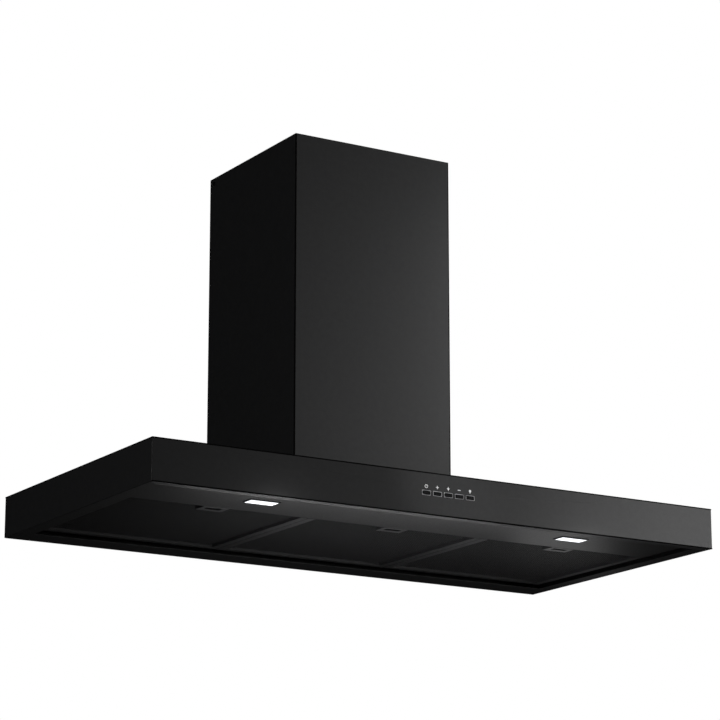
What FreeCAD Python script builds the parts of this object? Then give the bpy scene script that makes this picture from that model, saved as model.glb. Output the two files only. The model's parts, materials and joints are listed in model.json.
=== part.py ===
import FreeCAD, Part
import math
import os

# Wall range hood with a flat box canopy and a square chimney.
#
# Working frame: X runs along the front with 0 in the middle, Y = 0 is the wall and the front
# faces -Y, and Z = 0 is the lower rim. save() lowers every piece by FIXING_Z, so that the
# finished part has its origin in the middle of the four wall fixing holes. Sizes are in mm.

# ---- driving sizes ----
CANOPY_W = 1200.0
CANOPY_D = 600.0
CANOPY_H = 78.0
CHIMNEY_W = 347.0
CHIMNEY_D = 343.0
CHIMNEY_H = 696.0
SHEET = 1.2                   # canopy and blower box steel
CHIMNEY_SHEET = 1.0
EPS = 1.0                     # how far a cutter runs past the face it cuts
FOLD_R = 1.5                  # outer radius of a folded edge

# ---- canopy underside ----
RIM_FRONT = 20.0              # lip turned in along each side of the canopy
RIM_SIDE = 31.0
RIM_REAR = 65.0
RIM_GAP = 2.5                 # shadow gap between the lip and what it frames
PANEL_Z = 8.0                 # lamp panel and filter frames sit this far above the rim
FACE_Z = 13.0                 # the filters' faces sit higher still
STRIP_REAR_Y = -CANOPY_D + 176.0
PANEL_FRONT_Y = -CANOPY_D + RIM_FRONT + RIM_GAP
RAIL_Z = 24.0                 # rear rail's shelf, above the filters
CROSS_Z = RAIL_Z + SHEET      # the other rails rest on that shelf and on the lamp panel
RAIL_Y = (PANEL_FRONT_Y, -2 * SHEET)
CROSS_RAIL_W = 28.0
CROSS_RAIL_H = 14.0
SIDE_RAIL_W = 46.0
SIDE_RAIL_H = 20.0
REAR_SHELF_D = 18.0           # how far the rear rail's shelf reaches past the rear lip
REAR_LEG_H = 22.0

# ---- filters ----
FILTERS = ("left", "centre", "right")
FILTER_GAP = 1.0
FILTER_W = (CANOPY_W - 2 * (RIM_SIDE + RIM_GAP) - 2 * FILTER_GAP) / 3
FILTER_PITCH = FILTER_W + FILTER_GAP
FILTER_REAR_Y = -RIM_REAR - RIM_GAP
FILTER_FRONT_Y = STRIP_REAR_Y + 0.6
FLANGE_W = 15.0
FRAME_T = 1.0
FRAME_TOP_Z = 22.0
TOP_FLANGE_W = 12.0
PIN_Y = FILTER_REAR_Y - 3.5   # hinge axis at the rear of each filter
PIN_Z = 16.0
PIN_R = 2.0
PIN_SPACING = 220.0
RUN_FIT = 0.05                # radial clearance of a pin that turns
EAR_T = 2.0
EAR_R = 4.0
PIN_L = 14.0
CHEEK_T = 1.5                 # plates beside each ear that the pin also passes through
CHEEK_OUT = 3.75
FACE_T = 1.0
FACE_INSET = 5.0              # the face stops this far inside the filter's sides
FACE_Y = (FILTER_FRONT_Y + FRAME_T, FILTER_REAR_Y - FLANGE_W + 2.0)
MESH_FOLDS = 26
MESH_T = 0.8

# ---- filter latch ----
TAB_W = 52.0
TAB_D = 33.0
TAB_FRONT_Y = STRIP_REAR_Y + 0.8
LATCH_TRAVEL = 6.0
FINGER_W = 33.0
FINGER_D = 12.0
FINGER_Y = STRIP_REAR_Y + 15.0
STEM_W = 30.0
STEM_Y = (FINGER_Y + FINGER_D / 2 + 1.0, FINGER_Y + FINGER_D / 2 + 6.0)
BOLT_Z = (16.0, 18.0)
BOLT_W = 20.0
POCKET_W = 44.0
POCKET_REAR_Y = TAB_FRONT_Y + 40.0
SPRING_FOLDS = 6
SPRING_W = 8.0

# ---- lamps ----
LAMP_X = 335.0
LAMP_Y = -CANOPY_D + 91.0
LAMP_W = 58.0
LAMP_D = 28.0
LAMP_WALL = 1.5
LAMP_H = 24.0                 # depth of the lamp's can above the panel
LED_SIZE = 3.5
LED_PITCH = 11.0
DRIVER_X = -300.0             # lamp supply, behind the left filter
DRIVER_Y = -36.0

# ---- push buttons ----
BUTTONS = ("timer", "plus", "light", "minus", "bulb")
BUTTON_PITCH = 23.5
BUTTON_Z = 40.0
BUTTON_W = 16.4
BUTTON_H = 6.8
COLLAR_W = 18.6
COLLAR_H = 9.0
COLLAR_PROUD = 0.5
CAP_PROUD = 1.3
CAP_GAP = 0.35                # between a cap and its collar, all round
FLANGE_OUT = 1.5              # flange that keeps a cap from falling out
GUIDE_REAR_Y = -CANOPY_D + 4.4
STEM_REAR_Y = -CANOPY_D + 10.0
SWITCH_FRONT_Y = -CANOPY_D + 12.5
BOARD_FRONT_Y = -CANOPY_D + 16.0
BOARD_T = 1.6
CONTROL_REAR_Y = -CANOPY_D + 21.0
CONTROL_W = (len(BUTTONS) - 1) * BUTTON_PITCH + 36.0
CONTROL_Z = (24.0, 58.0)
CONTROL_WALL = 2.0

# ---- blower ----
BOX_W = 300.0
BOX_D = 300.0
BOX_TOP_Z = 330.0
BOX_REAR_T = 1.5
BOX_FLANGE = 12.0             # flange that the box is screwed down by
SCREW_R = 2.0
SCREW_HEAD_R = 4.0
SCREW_HEAD_H = 2.4
SLOT_W = 0.9                  # arms of a screw's cross recess
SLOT_L = 4.0
FAN_Y = -179.0
FAN_Z = 200.0
SCROLL_HALF_W = 75.0
SCROLL_T = 2.5
SCROLL_R0 = 94.0              # spiral radius at the tongue
SCROLL_R1 = 124.0             # spiral radius where it runs into the outlet
INLET_R = 64.0
INLET_LIP = 2.5
SEAM_OUT = 7.0                # flange along the seam of the two casing halves
SEAM_T = 2.0
WHEEL_R = 82.0
WHEEL_HALF_W = 65.0
WHEEL_RING_W = 8.0
WHEEL_RING_T = 4.0
WHEEL_DISC_T = 3.0
BLADES = 32
BLADE_D = 17.0
BLADE_T = 1.2
BLADE_LEAN = 9.0              # how far a blade's tip is ahead of its root
MOTOR_R = 45.0
MOTOR_X = (-68.0, -8.0)
SHAFT_R = 4.0
BEARING_R = 9.0
BEARING_L = 8.0
BEARING_SEAT_R = 13.0
CORE_R = 25.0                 # rotor core, inside the stator
CORE_L = 28.0
STATOR_L = 30.0
BRACKET_R = (67.0, 78.0)
BRACKET_T = 3.0
CAPACITOR_R = 16.0
CAPACITOR_H = 66.0

# ---- outlet ----
OUTLET_Y = -110.0
OUTLET_R = 74.5               # spigot for 150 mm duct
OUTLET_T = 2.0
OUTLET_H = 45.0
FLAP_Z = BOX_TOP_Z + 22.0
FLAP_R = 71.5
FLAP_T = 1.5
LEDGE_W = 3.0
LEDGE_T = 2.0
KNUCKLE_R = 4.0
KNUCKLE_L = 30.0
KNUCKLE_GAP = 1.0

# ---- mains connection ----
TERMINAL_X = (60.0, 145.0)
TERMINAL_Y = (-290.0, -200.0)
TERMINAL_Z = (BOX_TOP_Z, BOX_TOP_Z + 38.0)
TERMINAL_WALL = 2.0
LID_T = 2.5
GLAND_X = 118.0
GLAND_Z = BOX_TOP_Z + 20.0
GLAND_BORE_R = 4.0
GLAND_NECK_R = 8.0
GLAND_NECK_L = 9.0
GLAND_HEX_R = 11.0
GLAND_HEX_T = 5.0
GLAND_NUT_R = 9.5
GLAND_NUT_L = 10.0

# ---- wall fixing ----
FIXING_DX = 240.0
FIXING_DZ = 180.0
FIXING_R = 4.25
FIXING_Z = CANOPY_H + 40.0 + FIXING_DZ / 2

# ---- chimney fixing ----
CHIMNEY_TOP_Z = CANOPY_H + CHIMNEY_H
CHIMNEY_RETURN = 10.0         # narrow fold along each rear edge
INNER_GAP = 4.0               # between the outer and inner covers, at the front and sides
INNER_REAR_Y = -1.8
BRACKET_Z = (CHIMNEY_TOP_Z - 36.0, CHIMNEY_TOP_Z - 4.0)
BRACKET_EAR_D = 28.0
BRACKET_HOLE_X = 120.0
BRACKET_HOLE_R = 3.0
SIDE_SCREW_Y = -14.0
SIDE_SCREW_Z = CHIMNEY_TOP_Z - 11.0
SIDE_HOLE_R = 6.0
SIDE_HEAD_R = 4.5
SIDE_HEAD_H = 0.9



# ---- helpers ----
def block(x, y, z):
    return Part.makeBox(x[1] - x[0], y[1] - y[0], z[1] - z[0], FreeCAD.Vector(x[0], y[0], z[0]))


def span(width, centre=0.0):
    return (centre - width / 2, centre + width / 2)


def rod(radius, start, length, axis):
    return Part.makeCylinder(radius, length, FreeCAD.Vector(*start), FreeCAD.Vector(*axis))


def ring(outer, inner, start, length, axis):
    hole_start = [s - EPS * a for s, a in zip(start, axis)]
    return rod(outer, start, length, axis).cut(rod(inner, hole_start, length + 2 * EPS, axis))


def edges_along(shape, axis):
    """Straight edges that run along axis 0, 1 or 2."""
    found = []
    for edge in shape.Edges:
        a, b = edge.Vertexes[0].Point, edge.Vertexes[-1].Point
        across = [abs(a[i] - b[i]) for i in range(3) if i != axis]
        if max(across) < 1e-6 and abs(a[axis] - b[axis]) > 1e-6:
            found.append(edge)
    return found


def rounded(x, y, z, radius, axis):
    """A block whose four edges along one axis are rounded."""
    body = block(x, y, z)
    return body.makeFillet(radius, edges_along(body, axis))


def fuse(first, others):
    return first.multiFuse(others).removeSplitter()


def cut_all(body, tools):
    for tool in tools:
        body = body.cut(tool)
    return body


def mirrored_x(shape):
    return shape.mirror(FreeCAD.Vector(0, 0, 0), FreeCAD.Vector(1, 0, 0))


def save(name, shape):
    placed = shape.copy()
    placed.translate(FreeCAD.Vector(0, 0, -FIXING_Z))
    placed.exportStep("parts/" + name + ".step")


# ---- canopy ----
def button_x(index):
    return (index - (len(BUTTONS) - 1) / 2) * BUTTON_PITCH


def box_screws():
    """Where the blower box is screwed to the canopy's top."""
    out = BOX_FLANGE / 2
    x = BOX_W / 2 + out
    beside = [(side * x, y) for side in (-1, 1) for y in (-280.0, -150.0, -20.0)]
    ahead = [(side * BOX_W / 3, -BOX_D - out) for side in (-1, 1)]
    return beside + ahead


def canopy_shell():
    outer = block(span(CANOPY_W), (-CANOPY_D, 0), (0, CANOPY_H))
    outer = outer.makeFillet(FOLD_R, outer.Edges)
    inner = block(span(CANOPY_W - 2 * SHEET), (-CANOPY_D + SHEET, -SHEET), (SHEET, CANOPY_H - SHEET))
    mouth = block(span(CANOPY_W - 2 * RIM_SIDE), (-CANOPY_D + RIM_FRONT, -RIM_REAR), (-EPS, 2 * SHEET))
    top = (CANOPY_H - 2 * SHEET, CANOPY_H + EPS)
    air = block(span(BOX_W - 2 * SHEET), (-BOX_D + SHEET, -BOX_FLANGE), top)
    cutters = [inner, mouth, air]
    for index in range(len(BUTTONS)):
        cutters.append(rounded(span(COLLAR_W, button_x(index)), (-CANOPY_D - EPS, -CANOPY_D + 2 * SHEET),
                               span(COLLAR_H, BUTTON_Z), 1.2, 1))
    for x, y in box_screws():
        cutters.append(rod(SCREW_R, (x, y, top[0]), top[1] - top[0], (0, 0, 1)))
    return cut_all(outer, cutters)


def lamp_panel():
    """Fixed strip along the front of the underside, with an upright edge front and rear."""
    x = span(CANOPY_W - 2 * (RIM_SIDE + RIM_GAP))
    outer = block(x, (PANEL_FRONT_Y, STRIP_REAR_Y), (PANEL_Z, CROSS_Z))
    bottom_edges = [e for e in edges_along(outer, 0) if e.Vertexes[0].Z < PANEL_Z + 1]
    outer = outer.makeFillet(FOLD_R, bottom_edges)
    inner = block((x[0] - EPS, x[1] + EPS), (PANEL_FRONT_Y + SHEET, STRIP_REAR_Y - SHEET),
                  (PANEL_Z + SHEET, CROSS_Z + EPS))
    holes = [block(span(LAMP_W, side * LAMP_X), span(LAMP_D, LAMP_Y), (0, 2 * PANEL_Z)) for side in (-1, 1)]
    return cut_all(outer, [inner] + holes)


def cross_rail(x):
    """Inverted channel that runs front to rear above the joint between two filters."""
    outer = block(span(CROSS_RAIL_W, x), RAIL_Y, (CROSS_Z, CROSS_Z + CROSS_RAIL_H))
    outer = outer.makeFillet(1.0, [e for e in edges_along(outer, 1) if e.Vertexes[0].Z > CROSS_Z + 1])
    inner = block(span(CROSS_RAIL_W - 2 * SHEET, x), (RAIL_Y[0] - EPS, RAIL_Y[1] + EPS),
                  (CROSS_Z - EPS, CROSS_Z + CROSS_RAIL_H - SHEET))
    return outer.cut(inner)


def side_rail():
    """Angle along the right wall of the canopy that closes the space beside the filters."""
    wall_x = CANOPY_W / 2 - SHEET
    shelf = block((wall_x - SIDE_RAIL_W, wall_x), RAIL_Y, (CROSS_Z, CROSS_Z + SHEET))
    leg = block((wall_x - SHEET, wall_x), RAIL_Y, (CROSS_Z, CROSS_Z + SIDE_RAIL_H))
    return fuse(shelf, [leg])


def hinge_places():
    return [centre + side * PIN_SPACING / 2 for centre in filter_centres() for side in (-1, 1)]


def rear_rail():
    """Angle along the rear wall, with one hanging ear for each filter hinge."""
    x = span(CANOPY_W - 2 * SHEET)
    shelf = block(x, (-RIM_REAR - REAR_SHELF_D, -SHEET), (RAIL_Z, RAIL_Z + SHEET))
    leg = block(x, (-2 * SHEET, -SHEET), (RAIL_Z, RAIL_Z + REAR_LEG_H))
    ears = []
    for place in hinge_places():
        ear = block(span(EAR_T, place), span(2 * EAR_R, PIN_Y), (PIN_Z, RAIL_Z + SHEET / 2))
        foot = rod(EAR_R, (place - EAR_T / 2, PIN_Y, PIN_Z), EAR_T, (1, 0, 0))
        hole = rod(PIN_R, (place - EAR_T, PIN_Y, PIN_Z), 2 * EAR_T, (1, 0, 0))
        ears.append(ear.fuse(foot).cut(hole))
    return fuse(shelf, [leg] + ears)


def hinge_pins():
    return Part.makeCompound([rod(PIN_R, (place - PIN_L / 2, PIN_Y, PIN_Z), PIN_L, (1, 0, 0))
                              for place in hinge_places()])


# ---- filters ----
def filter_centres():
    return [(index - 1) * FILTER_PITCH for index in range(len(FILTERS))]


def filter_frame(centre):
    x = span(FILTER_W, centre)
    y = (FILTER_FRONT_Y, FILTER_REAR_Y)
    body = block(x, y, (PANEL_Z, FRAME_TOP_Z))
    lower = [e for e in body.Edges if max(v.Z for v in e.Vertexes) < PANEL_Z + 1]
    side_and_rear = [e for e in lower if max(v.Y for v in e.Vertexes) > y[0] + 1]
    body = body.makeFillet(0.8, side_and_rear)
    channel = block((x[0] + FRAME_T, x[1] - FRAME_T), (y[0] + FRAME_T, y[1] - FRAME_T),
                    (PANEL_Z + FRAME_T, FRAME_TOP_Z - FRAME_T))
    window_x = (x[0] + FLANGE_W, x[1] - FLANGE_W)
    window = block(window_x, (y[0] - EPS, y[1] - FLANGE_W), (PANEL_Z - EPS, FACE_Z))
    under_front = block(window_x, (y[0] - EPS, y[0] + 2 * EPS), (PANEL_Z - EPS, FACE_Z))
    top_window = block((x[0] + TOP_FLANGE_W, x[1] - TOP_FLANGE_W), (y[0] + TOP_FLANGE_W, y[1] - TOP_FLANGE_W),
                       (FACE_Z, FRAME_TOP_Z + EPS))
    body = cut_all(body, [channel, window, under_front, top_window])
    lip_z = (PANEL_Z + FRAME_T / 2, FACE_Z)
    lip_y = (y[0] + FRAME_T / 2, y[1] - FLANGE_W)
    lips = [block((window_x[0] - FRAME_T, window_x[0]), lip_y, lip_z),
            block((window_x[1], window_x[1] + FRAME_T), lip_y, lip_z),
            block((window_x[0] - FRAME_T, window_x[1] + FRAME_T), (lip_y[1], lip_y[1] + FRAME_T), lip_z)]
    cheeks = []
    notches = []
    for place in (centre - PIN_SPACING / 2, centre + PIN_SPACING / 2):
        for side in (-1, 1):
            cheek = block(span(CHEEK_T, place + side * CHEEK_OUT), (PIN_Y - 5.5, y[1] - FRAME_T / 2),
                          (PANEL_Z + FRAME_T / 2, PIN_Z + 4.0))
            cheeks.append(cheek)
        notches.append(block(span(2 * EAR_T, place), (PIN_Y - 7.5, y[1] + EPS),
                             (PIN_Z - 5.5, FRAME_TOP_Z + EPS)))
        notches.append(rod(PIN_R + RUN_FIT, (place - PIN_L / 2 - EPS, PIN_Y, PIN_Z),
                           PIN_L + 2 * EPS, (1, 0, 0)))
    body = fuse(body, lips + cheeks)
    pocket = latch_pocket(centre)
    bolt_slot = block(span(BOLT_W + 2.0, centre), (y[0] - EPS, y[0] + 2 * FRAME_T),
                      (BOLT_Z[0] - 0.5, BOLT_Z[1] + 0.5))
    return cut_all(fuse(body, [pocket]), notches + [bolt_slot])


def latch_pocket(centre):
    """Small upside-down tray on the filter's face that houses the latch's stem and spring."""
    x = span(POCKET_W + 2.0, centre)
    y = (FILTER_FRONT_Y, POCKET_REAR_Y + FRAME_T)
    outer = block(x, y, (FACE_Z + FACE_T, FRAME_TOP_Z))
    inner = block((x[0] + FRAME_T, x[1] - FRAME_T), (y[0] + FRAME_T, y[1] - FRAME_T),
                  (FACE_Z, FRAME_TOP_Z - FRAME_T))
    return outer.cut(inner)


def filter_face(centre):
    """Outer mesh sheet, resting on the frame's inner lip."""
    x = span(FILTER_W - 2 * FACE_INSET, centre)
    opening_y = (FINGER_Y - FINGER_D / 2 - 1.0, STEM_Y[1] + LATCH_TRAVEL + 0.5)
    opening = block(span(STEM_W + 5.0, centre), opening_y, (PANEL_Z, FACE_Z + 2 * FACE_T))
    return block(x, FACE_Y, (FACE_Z, FACE_Z + FACE_T)).cut(opening)


def filter_mesh(centre):
    """Corrugated grease mesh behind the face, its folds running front to rear."""
    width = FILTER_W - 2 * FACE_INSET
    low = FACE_Z + FACE_T
    high = FRAME_TOP_Z - FRAME_T - MESH_T
    step = width / (2 * MESH_FOLDS)
    x0 = centre - width / 2
    lower = [(x0 + i * step, high if i % 2 else low) for i in range(2 * MESH_FOLDS + 1)]
    upper = [(x, z + MESH_T) for x, z in reversed(lower)]
    points = [FreeCAD.Vector(x, FACE_Y[0], z) for x, z in lower + upper]
    sheet = Part.Face(Part.makePolygon(points + points[:1]))
    body = sheet.extrude(FreeCAD.Vector(0, FACE_Y[1] - FACE_Y[0], 0))
    pocket_room = block(span(POCKET_W + 2.0, centre), (FILTER_FRONT_Y - EPS, POCKET_REAR_Y + FRAME_T),
                        (FACE_Z, FRAME_TOP_Z + EPS))
    return body.cut(pocket_room)


def filter_latch(centre):
    """Finger tab flush with the lamp panel, with a stem and a bolt inside the filter."""
    x = span(TAB_W, centre)
    y = (TAB_FRONT_Y, TAB_FRONT_Y + TAB_D)
    top_z = FACE_Z - 0.6
    tray = block(x, y, (PANEL_Z, top_z))
    tray = tray.makeFillet(0.8, [e for e in tray.Edges if max(v.Z for v in e.Vertexes) < PANEL_Z + 1])
    hollow = block((x[0] + SHEET, x[1] - SHEET), (y[0] + SHEET, y[1] - SHEET), (PANEL_Z + SHEET, top_z + EPS))
    slot_y = span(FINGER_D, FINGER_Y)
    slot = rounded(span(FINGER_W, centre), slot_y, (PANEL_Z - EPS, PANEL_Z + 2 * SHEET), 2.0, 2)
    stem = block(span(STEM_W, centre), STEM_Y, (PANEL_Z + SHEET / 2, BOLT_Z[1]))
    bolt = block(span(BOLT_W, centre), (STRIP_REAR_Y + 0.3, STEM_Y[1]), BOLT_Z)
    return fuse(tray.cut(hollow).cut(slot), [stem, bolt])


def latch_spring(centre):
    """Flat strip folded into a zigzag between the latch's stem and the pocket's rear wall."""
    y0 = STEM_Y[1]
    y1 = POCKET_REAR_Y
    rise = 1.2                # measured up and down; the strip itself is about a third of this
    low = FACE_Z + FACE_T + 0.3
    high = FRAME_TOP_Z - FRAME_T - rise - 0.3
    pitch = (y1 - y0) / SPRING_FOLDS
    under = [(y0 + i * pitch, low if i % 2 else high) for i in range(SPRING_FOLDS + 1)]
    over = [(y, z + rise) for y, z in reversed(under)]
    points = [FreeCAD.Vector(centre - SPRING_W / 2, y, z) for y, z in under + over]
    strip = Part.Face(Part.makePolygon(points + points[:1]))
    return strip.extrude(FreeCAD.Vector(SPRING_W, 0, 0))


# ---- lamps ----
def lamp_housing(x):
    bezel = block(span(LAMP_W + 4.0, x), span(LAMP_D + 4.0, LAMP_Y), (PANEL_Z - 1.5, PANEL_Z))
    bezel = bezel.makeFillet(1.0, edges_along(bezel, 2))
    can = rounded(span(LAMP_W, x), span(LAMP_D, LAMP_Y), (PANEL_Z - 0.5, PANEL_Z + LAMP_H), 1.0, 2)
    hollow = block(span(LAMP_W - 2 * LAMP_WALL, x), span(LAMP_D - 2 * LAMP_WALL, LAMP_Y),
                   (0, PANEL_Z + LAMP_H - LAMP_WALL))
    return fuse(bezel, [can]).cut(hollow)


def lamp_lens(x):
    lens = block(span(LAMP_W - 2 * LAMP_WALL, x), span(LAMP_D - 2 * LAMP_WALL, LAMP_Y),
                 (PANEL_Z - 1.8, PANEL_Z + 0.7))
    return lens.makeFillet(0.6, edges_along(lens, 2))


def lamp_board(x):
    """Aluminium board with a row of LED packages, screwed to the top of the can."""
    top_z = PANEL_Z + LAMP_H - LAMP_WALL
    under_z = top_z - BOARD_T
    board = block(span(LAMP_W - 4 * LAMP_WALL, x), span(LAMP_D - 4 * LAMP_WALL, LAMP_Y), (under_z, top_z))
    chips = []
    for column in range(4):
        for row in (-1, 1):
            chip_x = span(LED_SIZE, x + (column - 1.5) * LED_PITCH)
            chip_y = span(LED_SIZE, LAMP_Y + row * LED_PITCH / 2)
            chips.append(block(chip_x, chip_y, (under_z - 0.9, under_z + 0.1)))
    return fuse(board, chips)


def led_driver():
    """Sealed supply for the lamps, under the canopy's top behind the filters."""
    top_z = CANOPY_H - SHEET
    case = rounded(span(110.0, DRIVER_X), span(46.0, DRIVER_Y), (top_z - 24.0, top_z), 3.0, 2)
    feet = [rounded(span(16.0, DRIVER_X + side * 62.0), span(20.0, DRIVER_Y), (top_z - 2.5, top_z), 3.0, 2)
            for side in (-1, 1)]
    return fuse(case, feet)


# ---- controls ----
def button(index):
    """Cap, retaining flange behind the guide, and a stem that meets its switch."""
    x = button_x(index)
    flange_y = (GUIDE_REAR_Y + 0.4, GUIDE_REAR_Y + 1.8)
    cap = block(span(BUTTON_W, x), (-CANOPY_D - CAP_PROUD, flange_y[0] + 0.2), span(BUTTON_H, BUTTON_Z))
    cap = cap.makeFillet(0.9, edges_along(cap, 1))
    front = [e for e in cap.Edges if max(v.Y for v in e.Vertexes) < -CANOPY_D - CAP_PROUD + 0.1]
    cap = cap.makeFillet(0.35, front)
    flange = block(span(BUTTON_W + 2 * FLANGE_OUT, x), flange_y, span(BUTTON_H + 2 * FLANGE_OUT, BUTTON_Z))
    stem = block(span(4.0, x), (flange_y[1] - 0.2, STEM_REAR_Y), span(3.0, BUTTON_Z))
    return fuse(cap, [flange, stem])


def button_guide():
    """Plate behind the front sheet whose five collars show as thin frames round the buttons."""
    plate = rounded(span(CONTROL_W), (-CANOPY_D + SHEET, GUIDE_REAR_Y), CONTROL_Z, 3.0, 1)
    collars = []
    holes = []
    for index in range(len(BUTTONS)):
        x = button_x(index)
        collar_y = (-CANOPY_D - COLLAR_PROUD, GUIDE_REAR_Y - 1.4)
        collar = rounded(span(COLLAR_W, x), collar_y, span(COLLAR_H, BUTTON_Z), 1.2, 1)
        front = [e for e in collar.Edges if max(v.Y for v in e.Vertexes) < -CANOPY_D - COLLAR_PROUD + 0.1]
        collars.append(collar.makeFillet(0.25, front))
        holes.append(rounded(span(BUTTON_W + 2 * CAP_GAP, x), (-CANOPY_D - 2 * EPS, GUIDE_REAR_Y + EPS),
                             span(BUTTON_H + 2 * CAP_GAP, BUTTON_Z), 1.1, 1))
    return cut_all(fuse(plate, collars), holes)


def control_board():
    board_z = (CONTROL_Z[0] + 3.0, CONTROL_Z[1] - 3.0)
    return rounded(span(CONTROL_W - 6.0), (BOARD_FRONT_Y, BOARD_FRONT_Y + BOARD_T), board_z, 2.0, 1)


def tact_switches():
    switches = []
    for index in range(len(BUTTONS)):
        x = button_x(index)
        base = rounded(span(6.0, x), (SWITCH_FRONT_Y, BOARD_FRONT_Y), span(6.0, BUTTON_Z), 0.6, 1)
        plunger = rod(1.6, (x, SWITCH_FRONT_Y - 0.7, BUTTON_Z), 1.2, (0, 1, 0))
        switches.append(base.fuse(plunger))
    return Part.makeCompound(switches)


def control_box():
    """Rear cover that closes on the button guide and holds the board on four posts."""
    outer = rounded(span(CONTROL_W), (GUIDE_REAR_Y, CONTROL_REAR_Y), CONTROL_Z, 3.0, 1)
    inner = block(span(CONTROL_W - 2 * CONTROL_WALL), (GUIDE_REAR_Y - EPS, CONTROL_REAR_Y - 1.5),
                  (CONTROL_Z[0] + CONTROL_WALL, CONTROL_Z[1] - CONTROL_WALL))
    post = 5.0
    posts = [block(span(post, side * (CONTROL_W / 2 - 6.0)), (BOARD_FRONT_Y + BOARD_T, CONTROL_REAR_Y - EPS),
                   (z, z + post))
             for side in (-1, 1) for z in (CONTROL_Z[0] + 3.0, CONTROL_Z[1] - 3.0 - post)]
    return fuse(outer.cut(inner), posts)


# ---- blower box ----
def motor_box():
    """Steel box on the canopy, open below. Its rear plate carries the wall fixing holes."""
    outer = rounded(span(BOX_W), (-BOX_D, 0), (CANOPY_H, BOX_TOP_Z), FOLD_R, 2)
    flange = rounded(span(BOX_W + 2 * BOX_FLANGE), (-BOX_D - BOX_FLANGE, 0),
                     (CANOPY_H, CANOPY_H + SHEET), 3.0, 2)
    inner = block(span(BOX_W - 2 * SHEET), (-BOX_D + SHEET, -BOX_REAR_T), (CANOPY_H - EPS, BOX_TOP_Z - SHEET))
    cutters = [inner, rod(OUTLET_R - OUTLET_T, (0, OUTLET_Y, BOX_TOP_Z - 2 * SHEET), 5.0, (0, 0, 1))]
    for side in (-1, 1):
        for level in (-1, 1):
            start = (side * FIXING_DX / 2, -BOX_REAR_T - EPS, FIXING_Z + level * FIXING_DZ / 2)
            cutters.append(rod(FIXING_R, start, BOX_REAR_T + 2 * EPS, (0, 1, 0)))
    for x, y in box_screws():
        cutters.append(rod(SCREW_R, (x, y, CANOPY_H - EPS), SHEET + 2 * EPS, (0, 0, 1)))
    return cut_all(fuse(outer, [flange]), cutters)


def assembly_screws():
    """Pan-headed screws with a cross recess, which hold the blower box down."""
    screws = []
    seat_z = CANOPY_H + SHEET
    shank_l = 7.2
    recess_z = (seat_z + SCREW_HEAD_H / 2, seat_z + SCREW_HEAD_H + EPS)
    for x, y in box_screws():
        shank = rod(SCREW_R, (x, y, seat_z - shank_l), shank_l, (0, 0, 1))
        head = rod(SCREW_HEAD_R, (x, y, seat_z), SCREW_HEAD_H, (0, 0, 1))
        rim = [e for e in head.Edges if len(e.Vertexes) == 1 and e.CenterOfMass.z > seat_z + 1]
        head = head.makeFillet(0.8, rim)
        cross = [block(span(SLOT_L, x), span(SLOT_W, y), recess_z),
                 block(span(SLOT_W, x), span(SLOT_L, y), recess_z)]
        screws.append(cut_all(shank.fuse(head), cross))
    return Part.makeCompound(screws)


def volute_face(inset, x, top_z):
    """Spiral casing outline with a straight outlet up, drawn in from its full size by inset."""
    outlet_in = FAN_Y + 13.0 + inset
    start = -math.asin((outlet_in - FAN_Y) / (SCROLL_R0 - inset))
    end = 1.5 * math.pi
    count = 14
    points = []
    for i in range(count + 1):
        turn = start + (end - start) * i / count
        radius = SCROLL_R0 + (SCROLL_R1 - SCROLL_R0) * max(turn, 0) / end - inset
        points.append(FreeCAD.Vector(x, FAN_Y - radius * math.sin(turn), FAN_Z + radius * math.cos(turn)))
    spiral = Part.BSplineCurve()
    spiral.interpolate(points)
    first, last = points[0], points[-1]
    corners = [last, FreeCAD.Vector(x, last.y, top_z), FreeCAD.Vector(x, first.y, top_z), first]
    sides = [Part.makeLine(corners[i], corners[i + 1]) for i in range(3)]
    return Part.Face(Part.Wire([spiral.toShape()] + sides))


def scroll_half():
    """Right half of the blower casing, with a seam flange and a rolled inlet."""
    top_z = BOX_TOP_Z - SHEET
    along = FreeCAD.Vector(1, 0, 0)
    outer = volute_face(0, 0, top_z).extrude(along * SCROLL_HALF_W)
    flange = volute_face(-SEAM_OUT, 0, top_z).extrude(along * SEAM_T)
    cavity = volute_face(SCROLL_T, -EPS, top_z + EPS).extrude(along * (SCROLL_HALF_W - SCROLL_T + EPS))
    inlet = rod(INLET_R, (SCROLL_HALF_W - 20.0, FAN_Y, FAN_Z), 30.0, (1, 0, 0))
    lip_l = 9.0
    lip = ring(INLET_R + INLET_LIP, INLET_R, (SCROLL_HALF_W - lip_l, FAN_Y, FAN_Z), lip_l, (1, 0, 0))
    return fuse(outer.fuse(flange).cut(cavity).cut(inlet), [lip])


def impeller():
    """Double wheel: one centre disc, two end rings and curved blades right across."""
    axis = (1, 0, 0)
    disc = rod(WHEEL_R - 2.0, (-WHEEL_DISC_T / 2, FAN_Y, FAN_Z), WHEEL_DISC_T, axis)
    boss = rod(14.0, (1.0, FAN_Y, FAN_Z), 17.0, axis)
    rings = [ring(WHEEL_R, WHEEL_R - WHEEL_RING_W, (x, FAN_Y, FAN_Z), WHEEL_RING_T, axis)
             for x in (-WHEEL_HALF_W, WHEEL_HALF_W - WHEEL_RING_T)]
    blades = []
    for i in range(BLADES):
        blade = curved_blade()
        blade.rotate(FreeCAD.Vector(0, FAN_Y, FAN_Z), FreeCAD.Vector(1, 0, 0), 360.0 * i / BLADES)
        blades.append(blade)
    wheel = fuse(disc, [boss] + rings + blades)
    return wheel.cut(rod(SHAFT_R, (-5.0, FAN_Y, FAN_Z), 30.0, axis))


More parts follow.
